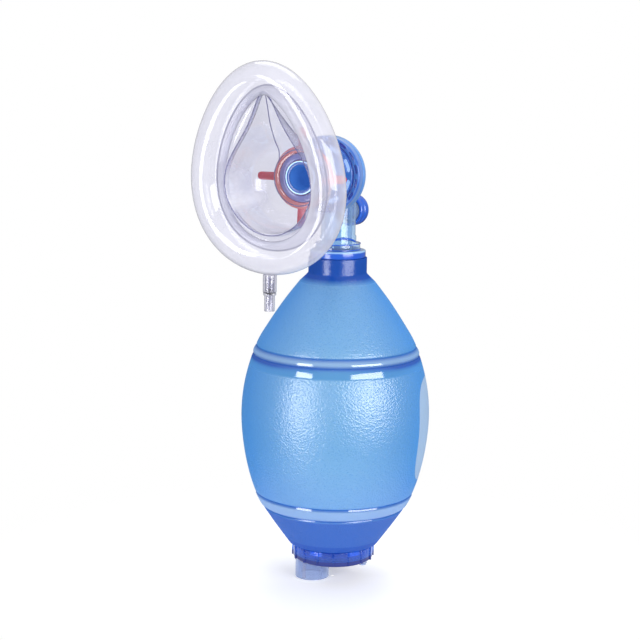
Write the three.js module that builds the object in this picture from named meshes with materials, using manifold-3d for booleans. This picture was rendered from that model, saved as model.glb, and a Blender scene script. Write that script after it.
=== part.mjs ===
// Bag valve mask for an adult: a squeeze bag standing on its intake end, a swivelling patient valve on its neck,
// and a clear face mask with an inflated cushion on the valve's patient port.
// Units are millimetres. +Z runs up the bag's axis, the patient port faces -Y, and the origin is the bag's centre.
import * as THREE from "three";
import { mergeVertices } from "three/addons/utils/BufferGeometryUtils.js";
import Module from "manifold-3d";

const wasm = await Module();
wasm.setup();

// ---- Driving dimensions ----
const GAP = 0.3; // running gap between neighbouring pieces
const WALL = 2; // moulded walls

const BAG_RADIUS = 65; // at the middle of the bag
const BAG_WALL = 2;
const COLLAR_RADIUS = 20; // front neck of the bag
const COLLAR_LOW = 97;
const COLLAR_TOP = 107.9;
const REAR_NECK_RADIUS = 26.2;
const REAR_NECK_LOW = -97;

const INLET_RADIUS = 11.5; // clear tube from the bag's neck up to the valve
const INLET_BORE = 9.5;
const VALVE_HEIGHT = 165; // height of the patient port's axis
const DRUM_RADIUS = 26;
const DRUM_BACK = 8; // these depths run from the bag's axis towards the patient
const DRUM_SPLIT = 15.8;
const DRUM_FRONT = 21.5;
const SLOT_COUNT = 8;
const NOTCH_COUNT = 10;

const PORT_RADIUS = 11; // 22 mm taper outside, 15 mm taper inside
const PORT_BORE = 7.6;
const PORT_TIP = 54.5;

const POPOFF_HEIGHT = 138.4;
const POPOFF_CAP_RADIUS = 10.8;
const POPOFF_TIP = 26;

const MASK_COLLAR_RADIUS = 16;
const MASK_COLLAR_BACK = 35;
const MASK_COLLAR_FRONT = 53.5;
const MASK_LIFT = 8; // the cushion's centre above the port's axis
const MASK_TILT = THREE.MathUtils.degToRad(5); // the nose end leans towards the face
const CUSHION_DEPTH = 98; // the cushion's middle plane
const CUSHION_HALF_WIDTH = 42; // of the cushion tube's centreline
const CUSHION_HALF_HEIGHT = 55;
const CUSHION_TUBE = 12;

const CAP_RADIUS = 28;
const CAP_TOP = -93.9;
const CAP_LOW = -104.3;
const CAP_RIBS = 16;
const INTAKE_TURN = THREE.MathUtils.degToRad(28); // the intake's ports, turned round the bag's axis
const RESERVOIR_OFFSET = 14.4;
const RESERVOIR_RADIUS = 11.9;
const RESERVOIR_LOW = -118.9;
const NIPPLE_OFFSET = 21;
const NIPPLE_LOW = -110.5;

// ---- Colours of the mouldings ----
const plastic = (color, roughness = 0.35) => new THREE.MeshStandardMaterial({ color, roughness, metalness: 0 });
const CLEAR = plastic(0xe4e9f2, 0.15);
const BAG_BLUE = plastic(0x6fb2ea, 0.4);
const DEEP_BLUE = plastic(0x2a5fd0, 0.3);
const SILICONE = plastic(0x5f8fd0, 0.5);
const RED = plastic(0xc8202e, 0.4);
const BLACK = plastic(0x202020, 0.6);
const STEEL = new THREE.MeshStandardMaterial({ color: 0xb8bcc2, roughness: 0.3, metalness: 1 });

// ---- Geometry helpers ----

// Turns a closed geometry's faces outwards, by the sign of the volume they enclose.
function facesOut(geometry) {
  for (const name of ["normal", "uv"]) geometry.deleteAttribute(name);
  const merged = mergeVertices(geometry, 1e-4);
  const p = merged.attributes.position;
  const index = merged.index.array;
  const [a, b, c] = [new THREE.Vector3(), new THREE.Vector3(), new THREE.Vector3()];
  let volume = 0;
  for (let i = 0; i < index.length; i += 3) {
    a.fromBufferAttribute(p, index[i]);
    b.fromBufferAttribute(p, index[i + 1]);
    c.fromBufferAttribute(p, index[i + 2]);
    volume += a.dot(b.cross(c));
  }
  if (volume < 0) {
    for (let i = 0; i < index.length; i += 3) [index[i + 1], index[i + 2]] = [index[i + 2], index[i + 1]];
  }
  return merged;
}

// A closed profile of [radius, height] pairs turned round Z.
function turned(profile, segments = 32) {
  const points = [...profile, profile[0]].map(([r, z]) => new THREE.Vector2(r, z));
  return facesOut(new THREE.LatheGeometry(points, segments).rotateX(Math.PI / 2));
}

// A ring of rectangular section, turned round Z.
function ring(inner, outer, low, high, segments = 32) {
  return turned([[inner, low], [outer, low], [outer, high], [inner, high]], segments);
}

function disc(radius, low, high, segments = 32) {
  return facesOut(new THREE.CylinderGeometry(radius, radius, high - low, segments)
    .rotateX(Math.PI / 2).translate(0, 0, (low + high) / 2));
}

function block(width, depth, height, x, y, z) {
  return facesOut(new THREE.BoxGeometry(width, depth, height).translate(x, y, z));
}

// An outline in the XY plane, thickened from low to high.
function plate(shape, low, high, curveSegments = 8) {
  const settings = { depth: high - low, bevelEnabled: false, curveSegments };
  return facesOut(new THREE.ExtrudeGeometry(shape, settings).translate(0, 0, low));
}

// A closed skin over rings with the same number of points, whose last ring joins the first.
function ringSkin(rings) {
  const around = rings[0].length;
  const index = [];
  rings.forEach((_, i) => {
    const next = (i + 1) % rings.length;
    for (let j = 0; j < around; j++) {
      const k = (j + 1) % around;
      index.push(i * around + j, i * around + k, next * around + k);
      index.push(i * around + j, next * around + k, next * around + j);
    }
  });
  return facesOut(new THREE.BufferGeometry().setFromPoints(rings.flat()).setIndex(index));
}

function toSolid(geometry) {
  const g = facesOut(geometry.clone());
  const mesh = { numProp: 3, vertProperties: g.attributes.position.array, triVerts: new Uint32Array(g.index.array) };
  return new wasm.Manifold(new wasm.Mesh(mesh));
}

function toGeometry(solid) {
  const mesh = solid.getMesh();
  const geometry = new THREE.BufferGeometry();
  geometry.setAttribute("position", new THREE.BufferAttribute(mesh.vertProperties, 3));
  return geometry.setIndex(new THREE.BufferAttribute(mesh.triVerts, 1));
}

const joined = (...parts) => toGeometry(parts.map(toSolid).reduce((all, part) => all.add(part)));
const cut = (whole, ...tools) => toGeometry(tools.map(toSolid).reduce((left, tool) => left.subtract(tool), toSolid(whole)));

// Copies of a geometry turned evenly round Z.
const around = (geometry, count, start = 0) =>
  Array.from({ length: count }, (_, i) => geometry.clone().rotateZ(start + (i * 2 * Math.PI) / count));

// ---- Groups, which are the object's own frames ----
const bagValveMask = new THREE.Group();

const patientAxis = new THREE.Group(); // its Z runs from the bag's axis towards the patient, its Y up
patientAxis.position.z = VALVE_HEIGHT;
patientAxis.rotation.x = Math.PI / 2;

const popoffAxis = new THREE.Group(); // its Z runs from the bag's axis away from the patient
popoffAxis.position.z = POPOFF_HEIGHT;
popoffAxis.rotation.x = -Math.PI / 2;

const intakeAxis = new THREE.Group(); // its X runs towards the oxygen nipple
intakeAxis.rotation.z = INTAKE_TURN;

bagValveMask.add(patientAxis, popoffAxis, intakeAxis);

function piece(parent, name, geometry, material) {
  const mesh = new THREE.Mesh(geometry, material);
  mesh.name = name;
  parent.add(mesh);
  return mesh;
}

// ---- Squeeze bag ----

// The bag's outside between its two necks, as [radius, height].
function bagOutline() {
  const shape = [
    [31.2, -92.4], [36.6, -85], [44.6, -73.6], [52, -62], [57.4, -49], [61.6, -33], [64.2, -16], [BAG_RADIUS, 0],
    [63.7, 16], [60.2, 32], [54.4, 48.5], [46.6, 62], [36.3, 77.5], [26, 91],
  ];
  return new THREE.SplineCurve(shape.map(([r, z]) => new THREE.Vector2(r, z))).getPoints(18).map((p) => [p.x, p.y]);
}

function bagShell() {
  const outside = bagOutline();
  const inside = outside.filter((_, i) => i % 2 === 0).map(([r, z]) => [r - BAG_WALL, z * 0.985]).reverse();
  const rearNeck = [[REAR_NECK_RADIUS - BAG_WALL, REAR_NECK_LOW], [REAR_NECK_RADIUS, REAR_NECK_LOW],
    [REAR_NECK_RADIUS, CAP_TOP + GAP], [29.4, CAP_TOP + GAP]];
  const frontNeck = [[21, 95.6], [COLLAR_RADIUS, COLLAR_LOW], [COLLAR_RADIUS, COLLAR_TOP],
    [COLLAR_RADIUS - BAG_WALL, COLLAR_TOP], [COLLAR_RADIUS - BAG_WALL, COLLAR_LOW - 1.5]];
  return turned([...rearNeck, ...outside, ...frontNeck, ...inside], 32);
}
piece(bagValveMask, "squeeze_bag", bagShell(), BAG_BLUE);

// ---- Neck swivel between the bag and the valve ----
const ADAPTOR_BORE = 14.3;
const SPIGOT_RADIUS = ADAPTOR_BORE - GAP;
const ADAPTOR_LOW = 97.4;
const LIP_LOW = COLLAR_TOP + GAP;
const LIP_TOP = 113;
const SEAL_HEIGHT = 104;

piece(bagValveMask, "neck_adaptor", turned([
  [ADAPTOR_BORE, ADAPTOR_LOW], [COLLAR_RADIUS - BAG_WALL - GAP, ADAPTOR_LOW], [COLLAR_RADIUS - BAG_WALL - GAP, LIP_LOW],
  [19, LIP_LOW], [19, LIP_TOP - 1], [18, LIP_TOP], [ADAPTOR_BORE, LIP_TOP],
], 28), DEEP_BLUE);

function sealRing(middle, section, height) {
  return facesOut(new THREE.TorusGeometry(middle, section, 6, 24).translate(0, 0, height));
}
piece(bagValveMask, "neck_seal_ring", sealRing(13.25, 0.7, SEAL_HEIGHT), SILICONE);

// ---- Clear inlet body: spigot, flanges, tube, elbow, clamping flange of the valve and pop-off boss ----
function inletBody() {
  const tubeTop = VALVE_HEIGHT;
  const stem = turned([
    [0, 93.6], [15.2, 93.6], [15.2, 95.6], [SPIGOT_RADIUS, 96.8], [SPIGOT_RADIUS, SEAL_HEIGHT - 1.2],
    [12.2, SEAL_HEIGHT - 1.2], [12.2, SEAL_HEIGHT + 1.2], [SPIGOT_RADIUS, SEAL_HEIGHT + 1.2], [SPIGOT_RADIUS, LIP_TOP + GAP],
    [15.2, LIP_TOP + GAP], [15.2, 117.6], [12.4, 117.6], [12.4, 122.6], [INLET_RADIUS + 0.3, 122.6],
    [INLET_RADIUS, tubeTop], [9.9, tubeTop + 5.8], [5.8, tubeTop + 9.9], [0, tubeTop + 11.5],
  ], 32);
  const towardsPatient = (g) => g.rotateX(Math.PI / 2).translate(0, 0, VALVE_HEIGHT);
  const elbow = towardsPatient(disc(12.8, 0, DRUM_BACK + WALL + 1));
  const flange = towardsPatient(disc(23, DRUM_BACK + WALL + GAP, DRUM_BACK + 2 * WALL + GAP, 40));
  const boss = disc(8.5, 5, 18, 24).rotateX(-Math.PI / 2).translate(0, 0, POPOFF_HEIGHT);
  const rise = disc(INLET_BORE, 90, tubeTop, 24);
  const crown = facesOut(new THREE.SphereGeometry(INLET_BORE, 24, 12).rotateX(Math.PI / 2).translate(0, 0, tubeTop));
  const run = towardsPatient(disc(INLET_BORE, 0, 20, 24));
  const reliefHole = disc(4.2, 0, 20, 20).rotateX(-Math.PI / 2).translate(0, 0, POPOFF_HEIGHT);
  const reliefWell = disc(6.4, 13, 20, 20).rotateX(-Math.PI / 2).translate(0, 0, POPOFF_HEIGHT);
  return cut(joined(stem, elbow, flange, boss), rise, crown, run, reliefHole, reliefWell);
}
piece(bagValveMask, "inlet_body", inletBody(), CLEAR);

// ---- Patient valve: a drum of two shells with a duckbill and an exhale diaphragm inside ----

// The back shell is notched where the inlet tube comes up behind it.
function backShell() {
  const shell = turned([
    [13.2, DRUM_BACK], [DRUM_RADIUS - 1.5, DRUM_BACK], [DRUM_RADIUS, DRUM_BACK + 1.5], [DRUM_RADIUS, DRUM_SPLIT - GAP],
    [DRUM_RADIUS - WALL, DRUM_SPLIT - GAP], [DRUM_RADIUS - WALL, DRUM_BACK + WALL], [13.2, DRUM_BACK + WALL],
  ], 36);
  return cut(shell, disc(INLET_RADIUS + 2 * GAP, 0, 2 * DRUM_RADIUS).rotateX(Math.PI / 2));
}
piece(patientAxis, "valve_back_shell", backShell(), DEEP_BLUE);

// One exhalation slot: an arc-shaped opening between two radii.
function slotOutline(inner, outer, halfAngle) {
  const shape = new THREE.Shape();
  shape.absarc(0, 0, outer, -halfAngle, halfAngle, false);
  shape.absarc(0, 0, inner, halfAngle, -halfAngle, true);
  shape.closePath();
  return shape;
}

function frontCover() {
  const shell = turned([
    [13, DRUM_FRONT - WALL], [DRUM_RADIUS - WALL, DRUM_FRONT - WALL], [DRUM_RADIUS - WALL, DRUM_SPLIT],
    [DRUM_RADIUS, DRUM_SPLIT], [DRUM_RADIUS, DRUM_FRONT - 2.2], [DRUM_RADIUS - 1.4, DRUM_FRONT - 0.6],
    [13, DRUM_FRONT],
  ], 36);
  const slot = plate(slotOutline(16.4, 19.6, THREE.MathUtils.degToRad(13)), DRUM_FRONT - 4, DRUM_FRONT + 1, 2);
  const notch = plate(slotOutline(22.6, 24.2, THREE.MathUtils.degToRad(7)), DRUM_FRONT - 0.9, DRUM_FRONT + 1, 1);
  const slots = around(slot, SLOT_COUNT, Math.PI / SLOT_COUNT);
  const notches = around(notch, NOTCH_COUNT, Math.PI / NOTCH_COUNT);
  return cut(shell, ...slots, ...notches);
}
piece(patientAxis, "valve_front_cover", frontCover(), DEEP_BLUE);

// The duckbill's flange sits on the inlet body, and its lips point towards the patient.
function duckbill() {
  const foot = DRUM_BACK + 2 * WALL + 2 * GAP;
  const bell = turned([
    [9.6, foot], [14, foot], [14, foot + 1.2], [7.3, foot + 1.5], [5.9, foot + 6], [4.4, foot + 10.4], [0, foot + 11.6],
    [0, foot + 10.4], [3.4, foot + 9.4], [4.9, foot + 5.4], [6.3, foot + 0.8],
  ], 28);
  const slit = block(0.6, 6.6, 8, 0, 0, foot + 10);
  return cut(bell, slit);
}
piece(patientAxis, "duckbill_valve", duckbill(), SILICONE);

// Exhaled gas lifts a ring of silicone off a ring of windows, and leaves by the front cover's slots.
const EXHALE_SEAT = DRUM_SPLIT - 0.2;

function exhaleSeat() {
  const window = plate(slotOutline(17.4, 20.4, THREE.MathUtils.degToRad(22)), EXHALE_SEAT - 1, EXHALE_SEAT + 2, 2);
  return cut(ring(14.6, DRUM_RADIUS - WALL - GAP, EXHALE_SEAT, EXHALE_SEAT + 1, 28), ...around(window, 6));
}
piece(patientAxis, "exhale_seat", exhaleSeat(), CLEAR);

piece(patientAxis, "exhale_diaphragm", ring(16.2, 22.4, EXHALE_SEAT + 1 + GAP, EXHALE_SEAT + 2, 28), SILICONE);

// ---- Patient port: a swivelling connector, held behind the front cover by its flange ----
piece(patientAxis, "patient_port", turned([
  [PORT_BORE, 16.8], [14.2, 16.8], [14.2, 18.9], [12.7, 18.9], [12.7, 21.8], [14, 21.8], [14, 24.6],
  [PORT_RADIUS + 0.5, 25.6], [PORT_RADIUS + 0.2, 34], [PORT_RADIUS - 0.2, PORT_TIP - 0.6], [PORT_RADIUS - 0.6, PORT_TIP],
  [PORT_BORE + 0.4, PORT_TIP], [PORT_BORE, PORT_TIP - 12],
], 28), DEEP_BLUE);

// ---- Pop-off valve, behind the inlet tube ----
const POPOFF_SEAT = 13.3;

piece(popoffAxis, "popoff_poppet", turned([
  [0, POPOFF_SEAT], [5.6, POPOFF_SEAT], [5.6, POPOFF_SEAT + 1.6], [1.6, POPOFF_SEAT + 2.6], [1.6, POPOFF_TIP + 1.5],
  [0, POPOFF_TIP + 1.5],
], 24), SILICONE);

// A compression spring: a wire of the given radius wound round Z.
function spring(radius, wire, low, high, turns) {
  const steps = turns * 8;
  const points = Array.from({ length: steps + 1 }, (_, i) => {
    const angle = (i / steps) * turns * 2 * Math.PI;
    return new THREE.Vector3(radius * Math.cos(angle), radius * Math.sin(angle), low + (i / steps) * (high - low));
  });
  const section = new THREE.Shape(new THREE.EllipseCurve(0, 0, wire, wire).getPoints(5));
  const extrudePath = new THREE.CatmullRomCurve3(points);
  return facesOut(new THREE.ExtrudeGeometry(section, { steps, extrudePath, bevelEnabled: false }));
}
piece(popoffAxis, "popoff_spring", spring(3.6, 0.4, POPOFF_SEAT + 3, POPOFF_TIP - 3, 5), STEEL);

function popoffCap() {
  const shell = turned([
    [8.8, 14], [10.2, 14], [POPOFF_CAP_RADIUS, 15], [POPOFF_CAP_RADIUS, 17.6], [10, 18.4], [10, 19.2],
    [POPOFF_CAP_RADIUS, 20], [POPOFF_CAP_RADIUS, POPOFF_TIP - 1.5], [9.2, POPOFF_TIP], [2, POPOFF_TIP],
    [2, POPOFF_TIP - WALL], [8.8, POPOFF_TIP - WALL],
  ], 24);
  const vent = plate(slotOutline(5.4, 7.2, THREE.MathUtils.degToRad(20)), POPOFF_TIP - 4, POPOFF_TIP + 1, 2);
  return cut(shell, ...around(vent, 4, Math.PI / 4));
}
piece(popoffAxis, "popoff_cap", popoffCap(), DEEP_BLUE);

// ---- Mask: points of its outlines are in the patient axis's frame, with x across the face and y up it ----

const OUTLINE_POINTS = 36;
const turnAngles = Array.from({ length: OUTLINE_POINTS }, (_, i) => (i * 2 * Math.PI) / OUTLINE_POINTS);

const circlePoint = (angle, radius) => new THREE.Vector2(radius * Math.sin(angle), radius * Math.cos(angle));

// An egg outline, narrow at the nose end.
const eggPoint = (angle, scale = 1) => new THREE.Vector2(
  CUSHION_HALF_WIDTH * scale * Math.sin(angle) * (0.98 - 0.2 * Math.cos(angle)),
  CUSHION_HALF_HEIGHT * scale * Math.cos(angle) + MASK_LIFT,
);

// The outline of the mask's lip: narrow beside the nose, then flaring to the cheeks.
function lipPoint(angle) {
  const flare = 9 + 20 / (1 + Math.exp((Math.cos(angle) - 0.2) / 0.2));
  return new THREE.Vector2(flare * Math.sin(angle), 40.3 * Math.cos(angle) + MASK_LIFT);
}

// The same outline moved outwards along its normals.
const outset = (pointAt, distance) => (angle) => {
  const step = 0.01;
  const along = pointAt(angle + step).sub(pointAt(angle - step)).normalize();
  return pointAt(angle).add(new THREE.Vector2(-along.y, along.x).multiplyScalar(distance));
};

// A ring of the mask at a depth, leaning with the cushion by the share lean.
function maskRing(pointAt, depth, lean = 1) {
  return turnAngles.map((angle) => {
    const p = pointAt(angle);
    return new THREE.Vector3(p.x, p.y, depth + lean * Math.tan(MASK_TILT) * (p.y - MASK_LIFT));
  });
}

const blend = (inner, outer, share) => (angle) => inner(angle).lerp(outer(angle), share);
const circle = (radius) => (angle) => circlePoint(angle, radius);
const egg = (scale) => (angle) => eggPoint(angle, scale);

// The dome is a bowl with a raised lip round its mouth, and a flange behind the cushion.
const LIP_DEPTH = 100;

function maskDome() {
  const rimFace = CUSHION_DEPTH - CUSHION_TUBE - GAP;
  const lipOutside = outset(lipPoint, 1.6);
  return ringSkin([
    maskRing(circle(MASK_COLLAR_RADIUS), MASK_COLLAR_BACK, 0),
    maskRing(circle(MASK_COLLAR_RADIUS), MASK_COLLAR_FRONT, 0),
    maskRing(circle(21), 55.4, 0),
    maskRing(blend(circle(21), lipOutside, 0.5), 60, 0.3),
    maskRing(blend(circle(21), lipOutside, 0.85), 68, 0.6),
    maskRing(lipOutside, 84),
    maskRing(egg(1.04), 84),
    maskRing(egg(1.04), rimFace),
    maskRing(lipOutside, rimFace),
    maskRing(lipOutside, LIP_DEPTH - 0.8),
    maskRing(lipPoint, LIP_DEPTH),
    maskRing(lipPoint, 84),
    maskRing(blend(circle(19), lipPoint, 0.85), 69.5, 0.6),
    maskRing(blend(circle(19), lipPoint, 0.5), 61.6, 0.3),
    maskRing(circle(19), 57, 0),
    maskRing(circle(PORT_RADIUS + 0.5), 55, 0),
    maskRing(circle(PORT_RADIUS + 0.8), MASK_COLLAR_BACK, 0),
  ]);
}
piece(patientAxis, "mask_dome", maskDome(), CLEAR);

// The cushion is a hollow tube that follows the egg outline, filled through a hole at the chin.
const INFLATION_DEPTH = 93;

function maskCushion() {
  const tube = (radius, sections) => ringSkin(Array.from({ length: sections }, (_, i) => {
    const turn = (i * 2 * Math.PI) / sections;
    return maskRing(outset(egg(1), radius * Math.cos(turn)), CUSHION_DEPTH + radius * Math.sin(turn));
  }));
  const chin = MASK_LIFT - CUSHION_HALF_HEIGHT - CUSHION_TUBE;
  const fillHole = disc(2.8, -chin - 8, -chin + 2, 12).rotateX(Math.PI / 2).translate(0, 0, INFLATION_DEPTH);
  return cut(tube(CUSHION_TUBE, 12), tube(CUSHION_TUBE - 0.8, 8), fillHole);
}
piece(patientAxis, "mask_cushion", maskCushion(), CLEAR);

// Hook ring for a head strap: a band round the mask's collar with four flat hooks.
const HOOK_BAND_LOW = 47.8;
const HOOK_BAND_HIGH = 52.9;
const HOOK_BAND_RADIUS = 20.6;
const HOOK_REACH = 32.5;

function hookRing() {
  const band = ring(MASK_COLLAR_RADIUS + GAP, HOOK_BAND_RADIUS, HOOK_BAND_LOW, HOOK_BAND_HIGH, 36);
  const outline = new THREE.Shape([[18.5, -2.6], [HOOK_REACH - 2.6, -2.6]].map(([x, y]) => new THREE.Vector2(x, y)));
  outline.absarc(HOOK_REACH - 2.6, 0, 2.6, -Math.PI / 2, Math.PI / 2, false);
  outline.lineTo(18.5, 2.6);
  const hook = plate(outline, -0.9, 0.9, 6).rotateY(THREE.MathUtils.degToRad(-4)).translate(0, 0, HOOK_BAND_HIGH - 2.2);
  return joined(band, ...around(hook, 4));
}
piece(patientAxis, "hook_ring", hookRing(), RED);

// ---- Inflation valve at the chin of the cushion, pointing down ----
const CHIN = MASK_LIFT - CUSHION_HALF_HEIGHT - CUSHION_TUBE; // lowest point of the cushion, from the port's axis
const STEM_TOP = VALVE_HEIGHT + CHIN + 0.2;
const inflationAxis = new THREE.Group(); // its Z runs down, out of the cushion
inflationAxis.position.set(0, -INFLATION_DEPTH, STEM_TOP);
inflationAxis.rotation.x = Math.PI;
bagValveMask.add(inflationAxis);

piece(inflationAxis, "inflation_sleeve", ring(3.1, 4.4, 0, 11.4, 24), CLEAR);
piece(inflationAxis, "inflation_valve_body", turned([
  [2.2, 2], [2.8, 2], [2.8, 11.7], [4.2, 11.7], [4.2, 12.9], [3.4, 13.6], [3.4, 23.4], [2.4, 23.4], [2.2, 15],
], 24), CLEAR);
piece(inflationAxis, "inflation_poppet", turned([
  [0, 10.4], [1.8, 10.4], [1.8, 12.6], [0.7, 13.4], [0.7, 20], [0, 20],
], 16), BLACK);
piece(inflationAxis, "inflation_spring", spring(1.35, 0.25, 3, 9.8, 4), STEEL);

// ---- Intake end: ribbed cap, port plate, gasket, valve seat and flap ----
const PLATE_TOP = -98.3;
const PLATE_LOW = CAP_LOW + 1.5 + GAP;

function intakeCap() {
  const shell = turned([
    [0, CAP_LOW], [CAP_RADIUS - 1.2, CAP_LOW], [CAP_RADIUS, CAP_LOW + 1.4], [CAP_RADIUS, CAP_TOP],
    [REAR_NECK_RADIUS + 0.4, CAP_TOP], [REAR_NECK_RADIUS + 0.4, CAP_LOW + 1.5], [0, CAP_LOW + 1.5],
  ], 36);
  const rib = block(1.6, 1.4, CAP_TOP - CAP_LOW - 2, CAP_RADIUS, 0, (CAP_TOP + CAP_LOW) / 2 + 1);
  const portHole = disc(RESERVOIR_RADIUS + GAP, CAP_LOW - 1, CAP_LOW + 2).translate(-RESERVOIR_OFFSET, 0, 0);
  const nippleHole = disc(3.6, CAP_LOW - 1, CAP_LOW + 2, 16).translate(NIPPLE_OFFSET, 0, 0);
  return cut(joined(shell, ...around(rib, CAP_RIBS)), portHole, nippleHole);
}
piece(intakeAxis, "intake_cap", intakeCap(), DEEP_BLUE);

function portPlate() {
  const base = disc(REAR_NECK_RADIUS + 0.1, PLATE_LOW, PLATE_TOP, 40);
  const port = disc(RESERVOIR_RADIUS, RESERVOIR_LOW, PLATE_TOP).translate(-RESERVOIR_OFFSET, 0, 0);
  const nipple = turned([
    [0, NIPPLE_LOW], [2.4, NIPPLE_LOW], [3.2, NIPPLE_LOW + 2], [2.7, NIPPLE_LOW + 2.4], [3.2, NIPPLE_LOW + 4.4],
    [2.8, NIPPLE_LOW + 4.8], [2.8, PLATE_TOP], [0, PLATE_TOP],
  ], 20).translate(NIPPLE_OFFSET, 0, 0);
  const portBore = disc(RESERVOIR_RADIUS - 1.8, RESERVOIR_LOW - 1, PLATE_TOP + 1).translate(-RESERVOIR_OFFSET, 0, 0);
  const nippleBore = disc(1.4, NIPPLE_LOW - 1, PLATE_TOP + 1, 12).translate(NIPPLE_OFFSET, 0, 0);
  return cut(joined(base, port, nipple), portBore, nippleBore);
}
piece(intakeAxis, "reservoir_port_plate", portPlate(), CLEAR);

piece(intakeAxis, "intake_gasket", ring(24.4, REAR_NECK_RADIUS, PLATE_TOP + 0.3, REAR_NECK_LOW - GAP, 28), SILICONE);

// A spoked disc that the flap closes.
function intakeSeat() {
  const [low, high] = [PLATE_TOP + GAP, PLATE_TOP + 1.9];
  const window = plate(slotOutline(5, 18, THREE.MathUtils.degToRad(24)), low - 1, high + 1, 2);
  return cut(disc(23.8, low, high, 28), ...around(window, 6), disc(1.7, low - 1, high + 1, 12));
}
piece(intakeAxis, "intake_valve_seat", intakeSeat(), CLEAR);

piece(intakeAxis, "intake_flap", turned([
  [0, PLATE_TOP + 0.4], [1.3, PLATE_TOP + 0.4], [1.3, PLATE_TOP + 2.2], [20, PLATE_TOP + 2.2], [20, PLATE_TOP + 2.9],
  [3, PLATE_TOP + 3.4], [0, PLATE_TOP + 3.4],
], 24), SILICONE);

export default bagValveMask;
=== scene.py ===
"""The looks of a bag valve mask: a translucent blue squeeze bag, its patient valve, and a clear mask with
red hooks.

Lengths are in millimetres until a matrix takes them to Blender's metres. Each group of pieces has its own
frame, whose Z is the axis that its pieces are turned round: the bag's axis, the patient port's, the pop-off
valve's and so on.
"""
import math

import bmesh
import bpy
from mathutils import Euler, Matrix, Vector

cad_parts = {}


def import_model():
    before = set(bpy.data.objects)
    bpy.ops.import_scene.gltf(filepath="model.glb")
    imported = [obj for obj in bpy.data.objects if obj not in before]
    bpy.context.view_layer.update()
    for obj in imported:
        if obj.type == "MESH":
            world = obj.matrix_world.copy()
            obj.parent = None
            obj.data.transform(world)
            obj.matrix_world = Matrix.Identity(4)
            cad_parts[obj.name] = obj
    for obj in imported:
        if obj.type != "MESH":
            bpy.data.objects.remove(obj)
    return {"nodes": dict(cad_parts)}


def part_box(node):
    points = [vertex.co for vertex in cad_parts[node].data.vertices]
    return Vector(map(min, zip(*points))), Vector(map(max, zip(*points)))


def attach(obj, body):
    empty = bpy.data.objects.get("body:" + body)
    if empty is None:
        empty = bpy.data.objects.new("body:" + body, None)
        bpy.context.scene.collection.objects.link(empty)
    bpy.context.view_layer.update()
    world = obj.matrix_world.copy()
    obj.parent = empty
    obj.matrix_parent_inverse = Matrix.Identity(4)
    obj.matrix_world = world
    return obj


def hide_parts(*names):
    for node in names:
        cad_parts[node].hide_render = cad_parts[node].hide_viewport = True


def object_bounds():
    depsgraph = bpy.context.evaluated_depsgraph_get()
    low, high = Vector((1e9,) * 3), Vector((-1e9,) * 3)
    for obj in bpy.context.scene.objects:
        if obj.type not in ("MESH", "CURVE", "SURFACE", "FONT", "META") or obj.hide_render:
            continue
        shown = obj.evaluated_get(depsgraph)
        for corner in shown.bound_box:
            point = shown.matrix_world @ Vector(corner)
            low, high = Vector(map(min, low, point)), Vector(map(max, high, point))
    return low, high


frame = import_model()
CAD_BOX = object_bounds()

MM = 0.001
TAU = 2 * math.pi
WHITE = (1, 1, 1, 1)


def middle(node):
    """The centre of a CAD node's box, in millimetres."""
    low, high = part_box(node)
    return (low + high) / 2 / MM


# ---- Frames ----
VALVE_HEIGHT = middle("valve_front_cover").z
POPOFF_HEIGHT = middle("popoff_cap").z
INTAKE_TURN = math.radians(28)

BAG = Matrix.Scale(MM, 4)
PATIENT = BAG @ Matrix.Translation((0, 0, VALVE_HEIGHT)) @ Matrix.Rotation(math.pi / 2, 4, "X")
POPOFF = BAG @ Matrix.Translation((0, 0, POPOFF_HEIGHT)) @ Matrix.Rotation(-math.pi / 2, 4, "X")
INTAKE = BAG @ Matrix.Rotation(INTAKE_TURN, 4, "Z")
STEM_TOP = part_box("inflation_sleeve")[1] / MM
INFLATION = (
    BAG
    @ Matrix.Translation((0, middle("inflation_sleeve").y, STEM_TOP.z))
    @ Matrix.Rotation(math.pi, 4, "X")
)


# ---- Materials ----
def new_material(name):
    material = bpy.data.materials.new(name)
    material.use_nodes = True
    nodes = material.node_tree.nodes
    nodes.clear()
    return material, nodes, material.node_tree.links


def linear(hex_colour):
    """A colour picked as #rrggbb, as the linear values that shaders take."""
    channels = [int(hex_colour[i:i + 2], 16) / 255 for i in (1, 3, 5)]
    return [c / 12.92 if c <= 0.04045 else ((c + 0.055) / 1.055) ** 2.4 for c in channels] + [1]


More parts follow.
